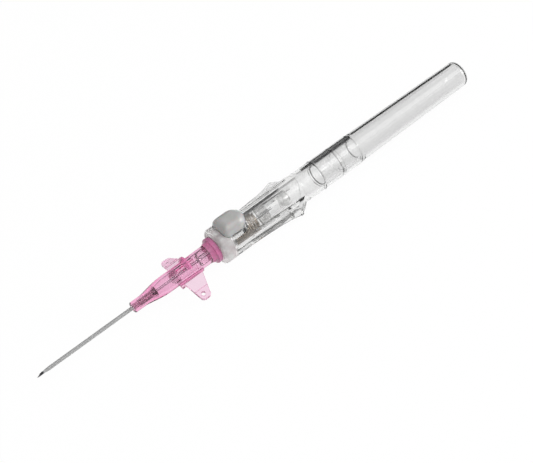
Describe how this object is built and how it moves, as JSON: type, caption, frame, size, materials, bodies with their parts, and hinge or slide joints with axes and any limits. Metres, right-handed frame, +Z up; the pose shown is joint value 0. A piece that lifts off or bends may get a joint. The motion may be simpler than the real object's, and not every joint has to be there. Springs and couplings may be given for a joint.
{
  "type": "safety intravenous cannula",
  "caption": "Winged intravenous cannula on its needle, with a pink hub, a clear finger grip, a push button and a spring that pulls the needle back into a closed tube.",
  "frame": {"origin": "on the surface that the part lies on, under the middle of its bounding box", "axes": "+X along the needle's axis from the point towards the closed end, +Z up, with the push button on top; the wings lie along Y"},
  "size_m": [0.1532, 0.0202, 0.0119],
  "materials": {
    "steel_needle": "bright drawn tube",
    "steel_wedge": "satin",
    "spring_wire": "drawn wire",
    "catheter_plastic": "soft translucent tube",
    "pink_hub": "tinted clear moulding",
    "clear_plastic": "clear moulding",
    "button_plastic": "milky translucent moulding",
    "carriage_plastic": "milky translucent moulding",
    "vent_plastic": "porous",
    "septum_rubber": "soft silicone"
  },
  "bodies": {
    "grip": {"front_housing": "clear_plastic", "rear_tube": "clear_plastic", "retraction_spring": "spring_wire"},
    "catheter": {"catheter_tube": "catheter_plastic", "catheter_wedge": "steel_wedge", "catheter_hub": "pink_hub", "septum": "septum_rubber", "septum_actuator": "carriage_plastic"},
    "needle_unit": {"needle": "steel_needle", "needle_carriage": "carriage_plastic", "flash_chamber": "clear_plastic", "vent_plug": "vent_plastic"},
    "button": {"push_button": "button_plastic"}
  },
  "joints": [
    {"name": "catheter_release", "type": "slide", "parent": "grip", "child": "catheter", "axis": [-1, 0, 0], "range_m": [0, 0.066]},
    {"name": "needle_retraction", "type": "slide", "parent": "grip", "child": "needle_unit", "axis": [1, 0, 0], "range_m": [0, 0.065], "deforming": ["retraction_spring"]},
    {"name": "button_press", "type": "slide", "parent": "grip", "child": "button", "axis": [0, 0, -1], "range_m": [0, 0.00125]}
  ],
  "couplings": [
    {"joint": "button_press", "follows": "needle_retraction", "ratio": 0.019231}
  ]
}
